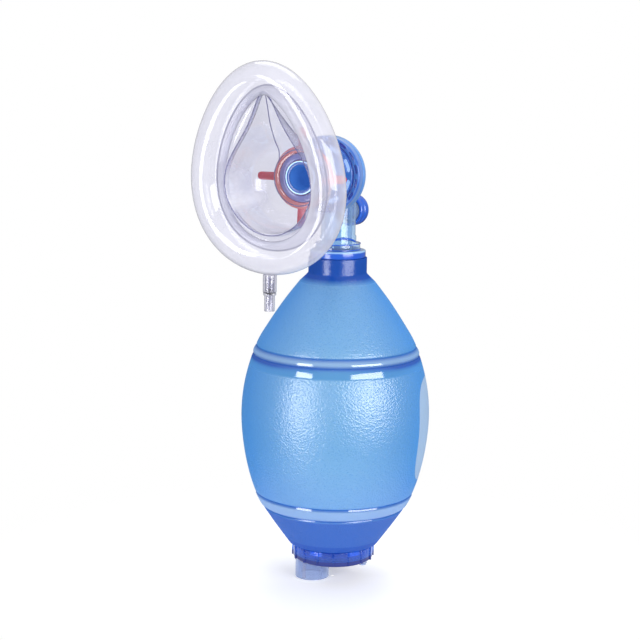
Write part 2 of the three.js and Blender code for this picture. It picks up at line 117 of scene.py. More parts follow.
class Shader:
    """A small helper that adds nodes to a material and links them by socket name."""

    def __init__(self, name):
        self.material, self.nodes, self.links = new_material(name)
        self.coordinates = self.nodes.new("ShaderNodeTexCoord").outputs["Object"]

    def add(self, kind, settings=None, **inputs):
        node = self.nodes.new("ShaderNode" + kind)
        for key, value in (settings or {}).items():
            setattr(node, key, value)
        for key, value in inputs.items():
            socket = node.inputs[int(key[1:])] if key[1:].isdigit() else node.inputs[key.replace("_", " ")]
            if isinstance(value, bpy.types.NodeSocket):
                self.links.new(value, socket)
            else:
                socket.default_value = value
        return node

    def math(self, operation, a, b=0.0, clamp=False):
        return self.add("Math", {"operation": operation, "use_clamp": clamp}, _0=a, _1=b).outputs[0]

    def multiply_add(self, value, factor, offset):
        return self.add("Math", {"operation": "MULTIPLY_ADD"}, _0=value, _1=factor, _2=offset).outputs[0]

    def attribute(self, name):
        return self.add("Attribute", {"attribute_name": name}).outputs["Fac"]

    def noise(self, size, detail=2.0, roughness=0.5, stretch=(1, 1, 1)):
        """Noise with features of about this size in millimetres."""
        place = self.add("Mapping", Vector=self.coordinates, Scale=stretch).outputs[0]
        noise = self.add("TexNoise", Vector=place, Scale=1 / (size * MM), Detail=detail, Roughness=roughness)
        return noise.outputs["Fac"]

    def spread(self, value, low, high):
        """Takes the middle of a noise's range, 0.3 to 0.7, to low and high."""
        ranged = self.add("MapRange", Value=value, From_Min=0.3, From_Max=0.7, To_Min=low, To_Max=high)
        return ranged.outputs[0]

    def mixed(self, share, a, b):
        node = self.add("Mix", {"data_type": "RGBA"}, _0=share)
        for socket, value in ((node.inputs[6], a), (node.inputs[7], b)):
            if isinstance(value, bpy.types.NodeSocket):
                self.links.new(value, socket)
            else:
                socket.default_value = value
        return node.outputs[2]

    def facing(self):
        """0 where the surface faces the ray and 1 where it turns away."""
        return self.add("LayerWeight", Blend=0.5).outputs["Facing"]

    def bump(self, height, distance, strength=1.0):
        return self.add("Bump", Height=height, Distance=distance * MM, Strength=strength).outputs[0]

    def layer_share(self, layer):
        """0 to 1 between two places along the object's X, Y or Z, for a layer (axis, low, high, colour)."""
        axis, low, high, _ = layer
        place = self.add("SeparateXYZ", _0=self.coordinates).outputs[axis]
        return self.add("MapRange", Value=place, From_Min=low * MM, From_Max=high * MM).outputs[0]

    def finish(self, shader):
        self.links.new(shader, self.nodes.new("ShaderNodeOutputMaterial").inputs["Surface"])
        return self.material


def film(
    name, body, tint, milk, edge, power=2.5, gloss=0.06, ripple=0.0, ripple_size=9.0, mottle=0.04, painted_reflection=0.0,
    glow=0.0, layer=None,
):
    """See-through plastic: clear where it faces the eye, milkier where it turns away, and polished.

    For a painted reflection, a mesh attribute of the same name as that argument marks where the plastic
    is milkier and whiter, and the argument is the share. Glow is painted light: an emission in the
    plastic's own colour that brightens it whatever lights it. A layer is as in moulding, and is milkier too.
    """
    s = Shader(name)
    normal = s.bump(s.noise(ripple_size, 1.0), ripple)
    facing = s.facing()
    cloud = s.spread(s.noise(14, 3.0), -mottle, mottle)
    turned_away = s.math("MULTIPLY", s.math("POWER", facing, power), edge - milk)
    opacity = s.math("ADD", s.math("ADD", turned_away, milk), cloud, clamp=True)
    colour = linear(body)
    if layer:
        share = s.layer_share(layer)
        colour = s.mixed(share, colour, linear(layer[3]))
        opacity = s.math("ADD", opacity, s.math("MULTIPLY", share, 0.75), clamp=True)
    if painted_reflection:
        # Painted reflection: whiter and more opaque where the mesh marks it.
        patch = s.attribute("painted_reflection")
        opacity = s.math("ADD", opacity, s.math("MULTIPLY", patch, painted_reflection), clamp=True)
        colour = s.mixed(patch, colour, WHITE)
    clear = s.add("BsdfTransparent", Color=linear(tint)).outputs[0]
    # Glow is painted light: the plastic's colour emitted, brightening it whatever lights it.
    solid = s.add(
        "BsdfPrincipled", Base_Color=colour, Roughness=0.5, Normal=normal, Specular_IOR_Level=0.0,
        Emission_Color=colour, Emission_Strength=glow,
    ).outputs[0]
    base = s.add("MixShader", _0=opacity, _1=clear, _2=solid).outputs[0]
    mirror = s.add("BsdfGlossy", Color=WHITE, Roughness=gloss, Normal=normal).outputs[0]
    schlick = s.multiply_add(s.math("POWER", facing, 5.0), 0.9, 0.05)
    return s.finish(s.add("MixShader", _0=schlick, _1=base, _2=mirror).outputs[0])


def moulding(
    name, colour, deep, roughness=0.22, coat=0.6, swirl=20.0, grain=0.01, rim=None, rim_power=2.0, layer=None,
    glow=0.0,
):
    """Glossy moulded plastic with slow swirls of a deeper colour and faint tool marks.

    It takes the colour rim where it turns away from the eye. A layer (axis, low, high, colour) fades to its
    colour between two places along the object's X, Y or Z. Glow is painted light: an emission in the base
    colour that brightens the plastic whatever lights it.
    """
    s = Shader(name)
    swirls = s.spread(s.noise(swirl, 3.0, 0.6), 0.0, 1.0)
    base = s.mixed(swirls, linear(colour), linear(deep))
    if layer:
        base = s.mixed(s.layer_share(layer), base, linear(layer[3]))
    if rim:
        base = s.mixed(s.math("POWER", s.facing(), rim_power), base, linear(rim))
    scratches = s.noise(1.2, 4.0, 0.7, stretch=(1, 1, 0.15))
    rough = s.spread(s.noise(6, 3.0), roughness * 0.8, roughness * 1.25)
    normal = s.bump(scratches, grain)
    # Glow is painted light: the base colour emitted, brightening the plastic whatever lights it.
    shader = s.add(
        "BsdfPrincipled", Base_Color=base, Roughness=rough, Normal=normal, Coat_Weight=coat,
        Coat_Roughness=0.06, Emission_Color=base, Emission_Strength=glow,
    )
    return s.finish(shader.outputs[0])


# A glow above 0 is painted light, an emission; the pale threads, the pale silicone and the port glow most.
CLEAR_MASK = film(
    "mask_vinyl", "#e6e6ee", "#f4f4fa", 0.3, 0.72, power=1.8, gloss=0.05, ripple=0.12, ripple_size=14,
    mottle=0.03, glow=0.08,
)
CLEAR_DOME = film(
    "dome_vinyl", "#dcdce8", "#f0f0f7", 0.05, 0.45, power=2.0, gloss=0.05, ripple=0.15, painted_reflection=0.5, glow=0.1,
)
SEAM = film("vinyl_seam", "#8c8cb8", "#d0d0e4", 0.4, 0.85, power=1.5)
RIM_LINE = film("rim_line", "#66669a", "#b0b0cc", 0.8, 0.95)
COLLAR_LILAC = film("collar_lilac", "#9a9cd0", "#d4d4f0", 0.55, 0.85, power=1.5)
# Painted reflection: the red hook band mirrored in the collar's bore.
PAINTED_HOOK_REFLECTION = film("painted_collar_reflection", "#b01828", "#e08088", 0.8, 0.95)
CLEAR_TUBE = film("clear_tube", "#bcd8f6", "#dceefc", 0.12, 0.7, power=1.8, gloss=0.04, ripple=0.05)
CLEAR_PORT = film(
    "clear_port", "#a4b4d6", "#cfdcf2", 0.2, 0.8, power=1.3, gloss=0.05, ripple=0.5, ripple_size=5,
    mottle=0.1, glow=0.05,
)
CLEAR_NIPPLE = film(
    "clear_nipple", "#b4b4be", "#f4f4fa", 0.1, 0.8, power=1.6, gloss=0.04, ripple=0.1, ripple_size=4,
    glow=0.05,
)
VALVE_BACK_BLUE = moulding("valve_back_blue", "#4a8ee4", "#3270d2", rim="#8abcf4", rim_power=1.5)
# Its layer is painted shade: darker blue wherever the front is cut deeper than its face, in the grips, the
# slots and the groove.
VALVE_BLUE = moulding(
    "valve_blue", "#4a8ee4", "#3270d2", rim="#a4cef8", rim_power=1.7, layer=(1, -21.35, -20.9, "#2456c4"),
)
DEEP_BLUE = moulding("deep_blue", "#2f6edc", "#1f56cc", rim="#1a3fa8", rim_power=3.0)
# Its layer is a painted highlight: the adaptor ring pale blue from about 112 mm up, over its top.
ADAPTOR_BLUE = moulding("adaptor_blue", "#2f6edc", "#1f56cc", layer=(2, 111.6, 112.4, "#9cc8f4"))
CAP_BLUE = film(
    "cap_blue", "#1a5cc4", "#84bcf6", 0.24, 0.95, power=1.2, gloss=0.08, mottle=0.05, glow=0.05,
    layer=(2, -99.8, -100.8, "#0e2270"),
)
THREAD_PALE = moulding("thread_pale", "#bfe6ff", "#9cd4fa", glow=0.8)
NAVY = moulding("navy", "#182c6c", "#101e50", roughness=0.35)
PORT_BLUE = moulding("port_blue", "#4c84cc", "#3a6cb0", layer=(1, -53.8, -54.3, "#1d4690"), glow=0.35)
RED = moulding("hook_red", "#dc1c2c", "#c81422", coat=0.4, glow=0.2)
# Painted light: the hook ring's face is a paler, lit copy of its red.
SALMON = moulding("hook_ring_face", "#f08c7c", "#e87464", coat=0.4, glow=0.2)
SILICONE = moulding("blue_silicone", "#5b8fd2", "#4878bd", roughness=0.45, coat=0.1)
PALE_SILICONE = moulding("pale_silicone", "#c4e2fb", "#a8d2f6", roughness=0.4, coat=0.1, glow=0.6)
BLACK = moulding(
    "black_plastic", "#1a1a1c", "#0c0c0e", roughness=0.5, coat=0.1, layer=(2, 93.6, 93.2, "#b8b8c0"),
)


def spring_steel():
    s = Shader("spring_steel")
    rough = s.spread(s.noise(0.6, 3.0, stretch=(1, 1, 0.2)), 0.2, 0.4)
    shader = s.add("BsdfPrincipled", Base_Color=(0.55, 0.56, 0.58, 1), Metallic=1.0, Roughness=rough)
    return s.finish(shader.outputs[0])


STEEL = spring_steel()


BAG_MASKS = ("smooth", "deep", "pale", "groove", "shade", "panel")
GRAIN_SIZE = 1.25


def bag_vinyl():
    """Translucent vinyl with a leathery grain. The mesh says where it is smooth, deep blue, pale, grooved or
    shaded, and how far inside its panel, which ends crisply where that reaches 1.
    """
    s = Shader("bag_vinyl")
    masks = {name: s.attribute(name) for name in BAG_MASKS}
    panel = s.add("MapRange", Value=masks["panel"], From_Min=0.95, From_Max=1.0).outputs[0]
    masks["smooth"] = s.math("MAXIMUM", masks["smooth"], panel)
    masks["pale"] = s.math("MAXIMUM", masks["pale"], s.math("MULTIPLY", panel, 0.9))
    cells = s.add(
        "TexVoronoi", {"feature": "SMOOTH_F1"}, Vector=s.coordinates, Scale=1 / (GRAIN_SIZE * MM),
        Smoothness=0.6,
    )
    fine = s.noise(0.8, 3.0, 0.6)
    grain = s.math("ADD", cells.outputs["Distance"], s.math("MULTIPLY", fine, 0.6))
    textured = s.math("SUBTRACT", 1.0, masks["smooth"], clamp=True)
    normal = s.bump(s.math("MULTIPLY", grain, textured), 0.28, 0.9)

    facing = s.facing()
    clouds = s.spread(s.noise(28, 3.0), 0.0, 1.0)
    speckle = s.math("MULTIPLY", s.spread(grain, 0.0, 1.0), textured, clamp=True)
    base = s.mixed(clouds, linear("#64aede"), linear("#5aa6da"))
    base = s.mixed(s.math("MULTIPLY", speckle, 0.6), base, linear("#98d2f2"))
    base = s.mixed(s.math("MULTIPLY", facing, 1.6, clamp=True), base, linear("#5cb0f6"))
    base = s.mixed(masks["pale"], base, linear("#cce6fb"))
    base = s.mixed(masks["deep"], base, linear("#1d60c8"))
    shaded = s.math("MULTIPLY", masks["shade"], s.math("MULTIPLY", facing, 3.0, clamp=True))
    base = s.mixed(shaded, base, linear("#2266cc"))
    # Painted shade: the grooves darker blue.
    base = s.mixed(masks["groove"], base, linear("#2260c4"))

    solid = s.add("BsdfDiffuse", Color=base, Normal=normal).outputs[0]
    glow = s.add("BsdfTranslucent", Color=base, Normal=normal).outputs[0]
    wall = s.add("MixShader", _0=0.35, _1=solid, _2=glow).outputs[0]
    rough = s.multiply_add(textured, 0.19, 0.09)
    skin = s.add("BsdfGlossy", Color=WHITE, Roughness=rough, Normal=normal).outputs[0]
    share = s.multiply_add(s.math("POWER", facing, 5.0), 0.08, 0.1)
    share = s.math("MULTIPLY", share, s.math("SUBTRACT", 1.0, s.math("MULTIPLY", masks["deep"], 0.5)))
    coated = s.add("MixShader", _0=share, _1=wall, _2=skin).outputs[0]
    opacity = s.multiply_add(s.math("POWER", facing, 2.0), 0.12, 0.88)
    clear = s.add("BsdfTransparent", Color=linear("#8cc4f8")).outputs[0]
    return s.finish(s.add("MixShader", _0=opacity, _1=clear, _2=coated).outputs[0])


BAG_VINYL = bag_vinyl()


# ---- Meshes ----
def add_mesh(name, vertices, faces, material, matrix, sharp_angle=38):
    """A smooth-shaded mesh piece with its normals outwards."""
    mesh = bpy.data.meshes.new(name)
    mesh.from_pydata(vertices, [], faces)
    mesh.transform(matrix)
    work = bmesh.new()
    work.from_mesh(mesh)
    bmesh.ops.remove_doubles(work, verts=work.verts, dist=1e-7)
    bmesh.ops.recalc_face_normals(work, faces=work.faces)
    work.to_mesh(mesh)
    work.free()
    mesh.materials.append(material)
    shade(mesh, sharp_angle)
    piece = bpy.data.objects.new(name, mesh)
    bpy.context.scene.collection.objects.link(piece)
    return piece


def shade(mesh, sharp_angle=38):
    mesh.polygons.foreach_set("use_smooth", [True] * len(mesh.polygons))
    mesh.set_sharp_from_angle(angle=math.radians(sharp_angle))


def rounded(profile, steps=4):
    """Closed profile points as (radius, height) or (radius, height, fillet); a fillet rounds its corner."""
    outline = []
    for i, point in enumerate(profile):
        here = Vector(point[:2])
        if len(point) < 3:
            outline.append(here)
            continue
        before = Vector(profile[i - 1][:2]) - here
        after = Vector(profile[(i + 1) % len(profile)][:2]) - here
        reach = min(point[2], before.length * 0.49, after.length * 0.49)
        start, end = here + before.normalized() * reach, here + after.normalized() * reach
        for k in range(steps + 1):
            t = k / steps
            outline.append((1 - t) ** 2 * start + 2 * t * (1 - t) * here + t * t * end)
    return outline


def turned(name, profile, material, matrix, segments=96, sharp_angle=38):
    """A closed profile of radius and height, turned round the matrix's Z."""
    outline = rounded(profile)
    vertices = []
    for j in range(segments):
        angle = TAU * j / segments
        vertices += [(p.x * math.cos(angle), p.x * math.sin(angle), p.y) for p in outline]
    count = len(outline)
    faces = []
    for j in range(segments):
        here, there = j * count, (j + 1) % segments * count
        for i in range(count):
            k = (i + 1) % count
            on_axis = outline[i].x < 1e-6, outline[k].x < 1e-6
            if all(on_axis):
                continue
            corners = [here + i, here + k, there + k, there + i]
            if on_axis[0]:
                corners = [here + i, here + k, there + k]
            if on_axis[1]:
                corners = [here + i, here + k, there + i]
            faces.append(corners)
    return add_mesh(name, vertices, faces, material, matrix, sharp_angle)


def tube_between(inner, outer, low, high, fillet=0.3):
    return [(inner, low, fillet), (outer, low, fillet), (outer, high, fillet), (inner, high, fillet)]


def prism(name, outline, low, high, material, matrix):
    """An outline of (x, y) points, thickened from low to high."""
    count = len(outline)
    vertices = [(x, y, z) for z in (low, high) for x, y in outline]
    faces = [list(range(count)), list(range(count, 2 * count))]
    faces += [[i, (i + 1) % count, count + (i + 1) % count, count + i] for i in range(count)]
    return add_mesh(name, vertices, faces, material, matrix)


def around(radius, angle):
    return radius * math.cos(angle), radius * math.sin(angle)


def arc_slot(inner, outer, centre, half_angle, steps=10):
    """The outline of a slot between two radii, with round ends."""
    width = (outer - inner) / 2
    middle_radius = (outer + inner) / 2
    ends = half_angle - width / middle_radius
    sweep = [centre + ends * (2 * k / steps - 1) for k in range(steps + 1)]
    points = [around(outer, a) for a in sweep]
    for end, direction in ((sweep[-1], 1), (sweep[0], -1)):
        hub = Vector(around(middle_radius, end))
        turn = end if direction > 0 else end + math.pi
        for a in (0.6, 1.2, 1.9, 2.5):
            points.append(tuple(hub + width * Vector((math.cos(turn + a), math.sin(turn + a)))))
        if direction > 0:
            points += [around(inner, a) for a in reversed(sweep)]
    return points


def boolean(piece, tools, operation):
    """Joins the tools to the piece or cuts them from it, and removes them."""
    for tool in tools:
        modifier = piece.modifiers.new("boolean", "BOOLEAN")
        modifier.operation = operation
        modifier.solver = "EXACT"
        modifier.object = tool
    bake(piece)
    for tool in tools:
        bpy.data.objects.remove(tool)
    return piece


def bake(piece):
    """Applies a piece's modifiers."""
    bpy.context.view_layer.update()
    evaluated = piece.evaluated_get(bpy.context.evaluated_depsgraph_get())
    mesh = bpy.data.meshes.new_from_object(evaluated)
    piece.modifiers.clear()
    piece.data = mesh
    shade(mesh)
    return piece


def softened(piece, width=0.2):
    """Rounds a cut piece's sharp edges a little, so that they catch the light."""
    modifier = piece.modifiers.new("bevel", "BEVEL")
    modifier.width = width * MM
    modifier.segments = 2
    modifier.limit_method = "ANGLE"
    modifier.angle_limit = math.radians(40)
    modifier.harden_normals = False
    return bake(piece)


def stands_for(piece, body, slot, *nodes):
    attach(piece, body)
    if nodes:
        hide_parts(*nodes)
    return piece


# ---- Squeeze bag ----
BAG_OUTLINE = [
    (31.2, -92.4), (36.6, -85), (44.6, -73.6), (52, -62), (57.4, -49), (61.6, -33), (64.2, -16), (65, 0),
    (63.7, 16), (60.2, 32), (54.4, 48.5), (46.6, 62), (36.3, 77.5), (26, 91),
]
BAG_WALL = 2
GROOVES = [(45.9, 0.65), (40.8, 0.95), (-56.1, 0.7), (-65.2, 0.7)]
SMOOTH_SPANS = [(34.3, 46.4), (-65.8, -55.5)]
RAISED_SPANS = [(41.6, 45.3), (-64.5, -56.8)]
COLLAR_RADIUS = 20
COLLAR_LOW = 97
COLLAR_TOP = 107.9
DEEP_COLLAR_LOW = 94.6
PANEL_ANGLE = math.radians(30)
PANEL_HALF_ANGLE = math.radians(31)
PANEL_MIDDLE = -8.5
PANEL_HALF_HEIGHT = 36


def catmull_rom(points, steps):
    """A smooth curve through the points, with this many steps between each two."""
    curve = []
    padded = [points[0] * 2 - points[1], *points, points[-1] * 2 - points[-2]]
    for a, b, c, d in zip(padded, padded[1:], padded[2:], padded[3:]):
        for k in range(steps):
            t = k / steps
            square = 2 * a - 5 * b + 4 * c - d
            cube = 3 * b - a - 3 * c + d
            curve.append(0.5 * (2 * b + (c - a) * t + square * t * t + cube * t ** 3))
    return curve + [points[-1]]


def step_between(value, low, high, soft):
    """1 between low and high, easing to 0 over soft outside them."""
    return max(0.0, min(1.0, (value - low) / soft + 1)) * max(0.0, min(1.0, (high - value) / soft + 1))


def bag_relief(z):
    raised = max(step_between(z, low, high, 0.5) for low, high in RAISED_SPANS)
    groove = max(math.exp(-(((z - middle) / width) ** 2)) for middle, width in GROOVES)
    return 0.45 * raised - 0.9 * groove


def squeeze_bag():
    body = catmull_rom([Vector(p) for p in BAG_OUTLINE], 14)
    outside = [Vector((p.x + bag_relief(p.y), p.y)) for p in body]
    inside = [Vector((p.x - BAG_WALL, p.y * 0.985)) for p in body[::3]][::-1]
    rear = rounded([
        (24.2, -97), (26.2, -97, 0.4), (26.2, -93.2, 0.5), (29.6, -93.2, 0.8), BAG_OUTLINE[0],
    ])[:-1]
    front = rounded([
        BAG_OUTLINE[-1], (21.4, 95.4, 2.0),
        (COLLAR_RADIUS, COLLAR_LOW, 0.8), (COLLAR_RADIUS, COLLAR_TOP, 0.5),
        (COLLAR_RADIUS - BAG_WALL, COLLAR_TOP, 0.4), (COLLAR_RADIUS - BAG_WALL, COLLAR_LOW - 1.5, 1.0),
    ])[1:]
    profile = [tuple(p) for p in [*rear, *outside, *front, *inside]]
    bag = turned("squeeze_bag_vinyl", profile, BAG_VINYL, BAG, segments=192, sharp_angle=50)
    paint_bag(bag.data)
    return stands_for(bag, "bag", "bag_vinyl", "squeeze_bag")


def paint_bag(mesh):
    """Writes the masks of the bag's material on its vertices."""
    for name in BAG_MASKS:
        mesh.attributes.new(name, "FLOAT", "POINT")
    masks = mesh.attributes
    for i, vertex in enumerate(mesh.vertices):
        x, y, z = vertex.co / MM
        smooth = max(step_between(z, low, high, 0.6) for low, high in SMOOTH_SPANS)
        groove = max(math.exp(-(((z - middle) / (width + 0.15)) ** 2)) for middle, width in GROOVES)
        collar = step_between(z, DEEP_COLLAR_LOW, 120, 1.2)
        # foot is painted shade: deep blue on the lower cone, and a faint deeper blue for about 40 mm above
        # it, darker towards the bottom.
        foot = max(0.88 * step_between(z, -100, -67, 2), 0.22 * step_between(z, -67, -66, 40))
        rim = step_between(z, -100, -88, 1)
        angle = math.atan2(y, x)
        across = (abs(math.remainder(angle - PANEL_ANGLE, TAU)) / PANEL_HALF_ANGLE) ** 4
        along = (abs(z - PANEL_MIDDLE) / PANEL_HALF_HEIGHT) ** 4
        raised = max(step_between(z, low, high, 0.4) for low, high in RAISED_SPANS)
        masks["smooth"].data[i].value = max(smooth, 0.6 * collar)
        masks["deep"].data[i].value = max(collar, foot, rim)
        masks["pale"].data[i].value = 0.5 * raised
        masks["panel"].data[i].value = max(0.0, 2 - across - along)
        # The groove mask is painted shade, darker blue along the grooves.
        masks["groove"].data[i].value = 0.85 * groove
        masks["shade"].data[i].value = math.exp(-(((z - 39.5) / 1.7) ** 2))


squeeze_bag()


# ---- Neck: the adaptor and the clear inlet body with its elbow ----
stands_for(
    turned("neck_adaptor_ring", [
        (14.3, 97.4, 0.3), (17.7, 97.4, 0.3), (17.7, 108.2), (19, 108.2, 0.3), (19, 113, 0.9),
        (14.3, 113, 0.4),
    ], ADAPTOR_BLUE, BAG),
    "bag", "deep_blue", "neck_adaptor",
)

INLET_RADIUS = 11.5
INLET_BORE = 9.5


def inlet_body():
    stem = turned("inlet_body_clear", [
        (0, 93.6), (15.2, 93.6, 0.4), (15.2, 95.6, 0.4), (14, 96.8, 0.3), (14, 102.8), (12.2, 102.8),
        (12.2, 105.2), (14, 105.2), (14, 113.3), (15.2, 113.3, 0.3), (15.2, 117.6, 0.5), (12.4, 117.6, 0.4),
        (12.4, 122.6, 0.5), (11.8, 122.6), (INLET_RADIUS, VALVE_HEIGHT), (9.9, VALVE_HEIGHT + 5.8, 4),
        (5.8, VALVE_HEIGHT + 9.9, 4), (0, VALVE_HEIGHT + INLET_RADIUS),
    ], CLEAR_TUBE, BAG, segments=72)
    added = [
        turned("elbow", [(0, 0), (12.8, 0), (12.8, 11), (0, 11)], CLEAR_TUBE, PATIENT, 64),
        turned("flange", [(0, 10.3), (23, 10.3, 0.3), (23, 12.3, 0.3), (0, 12.3)], CLEAR_TUBE, PATIENT, 96),
        turned("boss", [(0, 5), (8.5, 5), (8.5, 18, 0.4), (0, 18)], CLEAR_TUBE, POPOFF, 48),
    ]
    boolean(stem, added, "UNION")
    bores = [
        turned("rise", [
            (0, 90), (INLET_BORE, 90), (INLET_BORE, VALVE_HEIGHT), (8.3, VALVE_HEIGHT + 4.6, 3),
            (4.8, VALVE_HEIGHT + 8.2, 3), (0, VALVE_HEIGHT + INLET_BORE),
        ], CLEAR_TUBE, BAG, 64),
        turned("run", [(0, 0), (INLET_BORE, 0), (INLET_BORE, 20), (0, 20)], CLEAR_TUBE, PATIENT, 64),
        turned("relief", [
            (0, 0), (4.2, 0), (4.2, 13), (6.4, 13), (6.4, 20), (0, 20),
        ], CLEAR_TUBE, POPOFF, 48),
    ]
    boolean(stem, bores, "DIFFERENCE")
    for height in (113.6, 117.4):
        line = tube_between(15.1, 15.5, height - 0.3, height + 0.3, 0.15)
        stands_for(turned("inlet_seam", line, DEEP_BLUE, BAG), "valve", "clear_plastic")
    return stands_for(stem, "valve", "clear_plastic", "inlet_body")


inlet_body()


def inlet_thread():
    """A short ramp round the foot of the inlet tube."""
    path = []
    for k in range(37):
        angle = math.radians(-100 + 110 * k / 36)
        height = 118.4 + 3.2 * math.sin(math.pi * k / 36)
        path.append(Vector((*around(12.6, angle), height)))
    thread = bead_mesh("inlet_thread", path, 0.7, DEEP_BLUE, BAG, closed=False)
    stands_for(thread, "valve", "clear_plastic")


# ---- Patient valve's drum ----
SLOT_COUNT = 8
GRIP_COUNT = 16


def valve_back():
    shell = turned("valve_back_cover", [
        (13.2, 8, 0.4), (23.6, 8, 1.2), (26, 11.5, 1.2), (26, 15.5, 0.3), (24, 15.5, 0.3), (24, 12, 0.6),
        (22.6, 10, 0.6), (13.2, 10, 0.3),
    ], VALVE_BACK_BLUE, PATIENT)
    clearance = [(0, 130), (12.1, 130), (12.1, VALVE_HEIGHT), (0, VALVE_HEIGHT)]
    boolean(shell, [turned("notch", clearance, VALVE_BLUE, BAG, 64)], "DIFFERENCE")
    return stands_for(softened(shell), "valve", "valve_blue", "valve_back_shell")


def valve_front():
    shell = turned("valve_front_plate", [
        (13, 21.5, 0.4), (20.3, 21.5, 0.3), (20.8, 20.7, 0.2), (21.8, 20.7, 0.2), (22.3, 21.5, 0.3),
        (26, 21.5, 1.4), (26, 15.8, 0.3), (24, 15.8, 0.3), (24, 19.5, 0.6), (13, 19.5, 0.3),
    ], VALVE_BLUE, PATIENT, segments=160)
    tools = []
    for k in range(SLOT_COUNT):
        slot = arc_slot(16.4, 19.6, TAU * (k + 0.5) / SLOT_COUNT, math.radians(15))
        tools.append(prism("slot", slot, 18, 23, VALVE_BLUE, PATIENT))
    for k in range(GRIP_COUNT):
        grip = arc_slot(22.6, 24.8, TAU * (k + 0.5) / GRIP_COUNT, math.radians(7.5))
        tools.append(prism("grip", grip, 20.6, 23, VALVE_BLUE, PATIENT))
    boolean(shell, tools, "DIFFERENCE")
    return stands_for(softened(shell, 0.15), "valve", "valve_blue", "valve_front_cover")


valve_back()
valve_front()


def duckbill():
    """A bell that narrows to two flat lips with a slit between them."""
    rings = []
    for height, half_length, half_thickness in (
        (13.0, 9.6, 9.6), (12.7, 10.2, 10.2), (12.6, 13.8, 13.8), (12.8, 14, 14), (13.6, 14, 14),
        (13.8, 13.8, 13.8), (14.0, 7.7, 7.7), (14.4, 7.2, 7.2), (17, 6.3, 6), (20, 5.4, 4), (22.6, 4.6, 1.9),
        (23.9, 4.1, 0.9), (24.1, 3.8, 0.6), (24, 3.5, 0.2), (23, 3.7, 0.3), (20, 4.5, 2.9), (17, 5.4, 5),
        (14.4, 6.3, 6.3),
    ):
        angles = [TAU * j / 64 for j in range(64)]
        rings.append([(half_thickness * math.sin(a), half_length * math.cos(a), height) for a in angles])
    skin = ring_skin("duckbill_silicone", rings, SILICONE, PATIENT)
    return stands_for(skin, "duckbill", "silicone", "duckbill_valve")


def ring_skin(name, rings, material, matrix, sharp_angle=38, closed=True):
    """A skin over rings with the same number of points, whose last ring joins the first."""
    count = len(rings[0])
    vertices = [point for one in rings for point in one]
    faces = []
    for i in range(len(rings) if closed else len(rings) - 1):
        here, there = i * count, (i + 1) % len(rings) * count
        for j in range(count):
            k = (j + 1) % count
            faces.append([here + j, here + k, there + k, there + j])
    return add_mesh(name, vertices, faces, material, matrix, sharp_angle)


duckbill()

stands_for(
    turned("exhale_diaphragm_ring", tube_between(16.2, 22.4, 16.9, 18.4, 0.2), PALE_SILICONE, PATIENT),
    "exhale_diaphragm", "silicone", "exhale_diaphragm",
)

stands_for(
    turned("patient_port_swivel", [
        (7.6, 16.8, 0.3), (14.2, 16.8, 0.4), (14.2, 18.9, 0.3), (12.7, 18.9, 0.2), (12.7, 21.8, 0.2),
        (14, 21.8, 0.4), (14, 24.6, 0.6), (11.5, 25.6, 0.6), (11.2, 34), (10.6, 54.5, 0.5), (8.3, 54.5, 0.4),
        (7.6, 42),
    ], PORT_BLUE, PATIENT),
    "patient_port", "valve_blue", "patient_port",
)
# Painted highlight: a pale, glowing ring on the port's end, where its edge catches the light.
stands_for(
    turned("patient_port_edge_highlight", tube_between(10.2, 10.9, 54.1, 54.8, 0.3), PALE_SILICONE, PATIENT),
    "patient_port", "valve_blue",
)


# ---- Pop-off valve ----
VENT_COUNT = 6


def popoff_cap():
    cap = turned("popoff_knob", [
        (8.8, 14, 0.3), (10.2, 14, 0.3), (10.8, 14.8, 0.4), (10.8, 17.6, 0.4), (10.1, 18.3, 0.3),
        (10.1, 19.3, 0.3), (10.8, 20, 0.4), (10.8, 24.8, 1.0), (9.2, 26, 0.8), (6.6, 26, 0.4),
        (6.0, 25.4, 0.3), (3.4, 25.4, 0.3), (2.8, 26, 0.3), (2, 26, 0.2), (2, 24, 0.2), (8.8, 24, 0.5),
    ], DEEP_BLUE, POPOFF)
    vents = []
    for k in range(VENT_COUNT):
        vent = arc_slot(7.2, 8.6, TAU * (k + 0.5) / VENT_COUNT, math.radians(17))
        vents.append(prism("vent", vent, 23, 27, DEEP_BLUE, POPOFF))
    boolean(cap, vents, "DIFFERENCE")
    return stands_for(softened(cap, 0.12), "valve", "deep_blue", "popoff_cap")


popoff_cap()
stands_for(
    turned("popoff_disc", [
        (0, 13.3), (5.6, 13.3, 0.2), (5.6, 14.9, 0.3), (1.6, 15.9, 0.3), (1.6, 27.5, 0.5), (0, 27.5),
    ], SILICONE, POPOFF, 48),
    "popoff_poppet", "silicone", "popoff_poppet",
)

# ---- Mask ----
MASK_LIFT = 8
MASK_TILT = math.radians(5)
CUSHION_DEPTH = 98
HALF_WIDTH = 42
HALF_HEIGHT = 55
AROUND = 120
COLLAR_BORE = 11.6
MASK_COLLAR = 16
LIP_DEPTH = 98.5
LIP_LIFT = 11
RIM_SCALE = 0.945
RIM_DEPTH = 93


def egg(scale=1.0):
    return lambda angle: Vector((
        HALF_WIDTH * scale * math.sin(angle) * (0.98 - 0.2 * math.cos(angle)),
        HALF_HEIGHT * scale * math.cos(angle) + MASK_LIFT,
    ))


def lip(angle):
    """The mouth of the dome: narrow beside the nose, then flaring to the cheeks."""
    flare = 7 + 28 / (1 + math.exp((math.cos(angle) - 0.236) / 0.27))
    return Vector((flare * math.sin(angle), 44.1 * math.cos(angle) + LIP_LIFT))


def circle(radius):
    return lambda angle: Vector((radius * math.sin(angle), radius * math.cos(angle)))


def outset(point_at, distance):
    """The same outline moved outwards along its normals."""
    def moved(angle):
        along = point_at(angle + 0.01) - point_at(angle - 0.01)
        return point_at(angle) + distance * Vector((-along.y, along.x)).normalized()
    return moved


